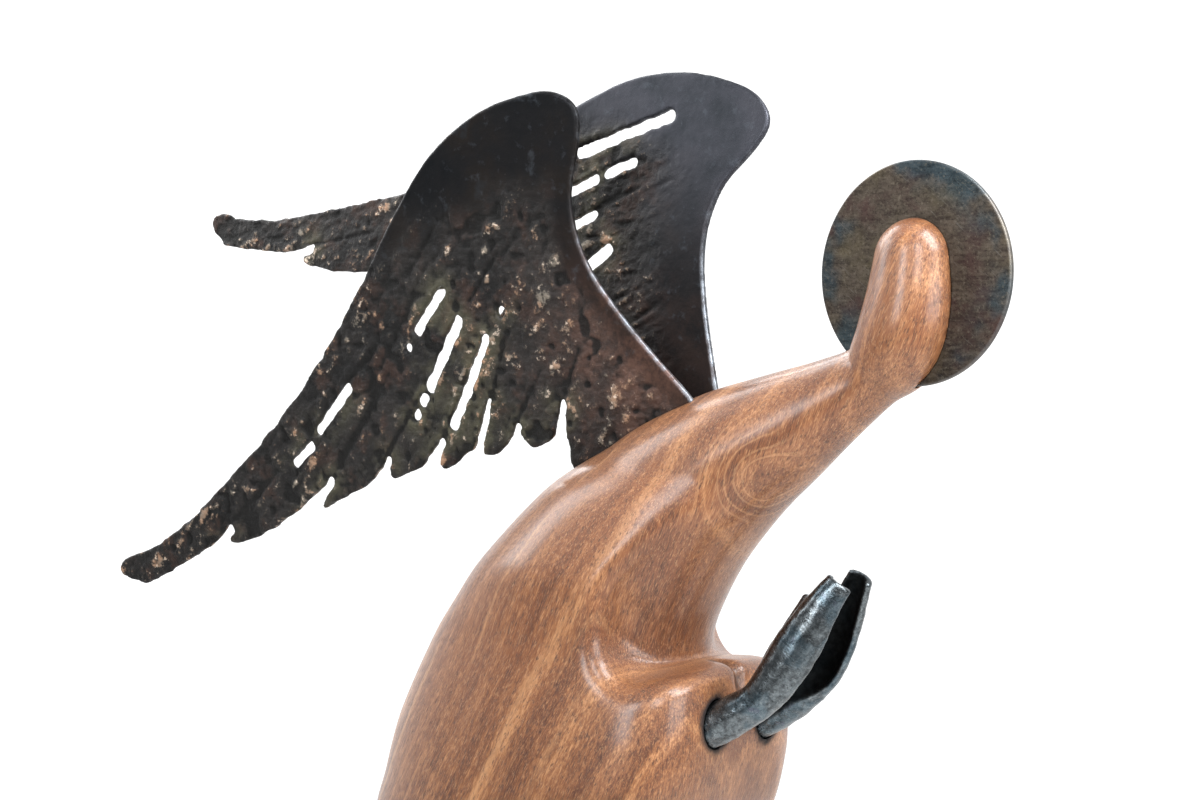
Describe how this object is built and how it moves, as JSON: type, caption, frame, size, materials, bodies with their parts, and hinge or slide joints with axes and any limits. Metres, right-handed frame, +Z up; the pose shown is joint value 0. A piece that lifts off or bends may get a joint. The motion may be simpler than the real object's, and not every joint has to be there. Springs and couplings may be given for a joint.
{
  "type": "wooden angel statue",
  "caption": "Carved wooden angel with an abstract faceless head, cut steel wings, a disc halo and forged praying hands, standing upright on a low oval base.",
  "frame": {"origin": "middle of the base's flat underside, on the surface it stands on", "axes": "+Z up, +X the way the angel faces and leans, +Y towards the angel's left wing"},
  "size_m": [0.37, 0.12, 0.4763],
  "materials": {
    "wood": "oiled and rubbed to a satin sheen",
    "tinted_steel": "sheet steel, browned and heat-tinted",
    "burned_steel": "torch-cut plate, burned black with rubbed edges",
    "forged_steel": "forged and filed, dark with a bright sheen"
  },
  "bodies": {
    "root": {"figure": "wood", "halo": "tinted_steel", "right_wing": "burned_steel", "left_wing": "burned_steel", "right_hand": "forged_steel", "left_hand": "forged_steel"}
  },
  "joints": []
}
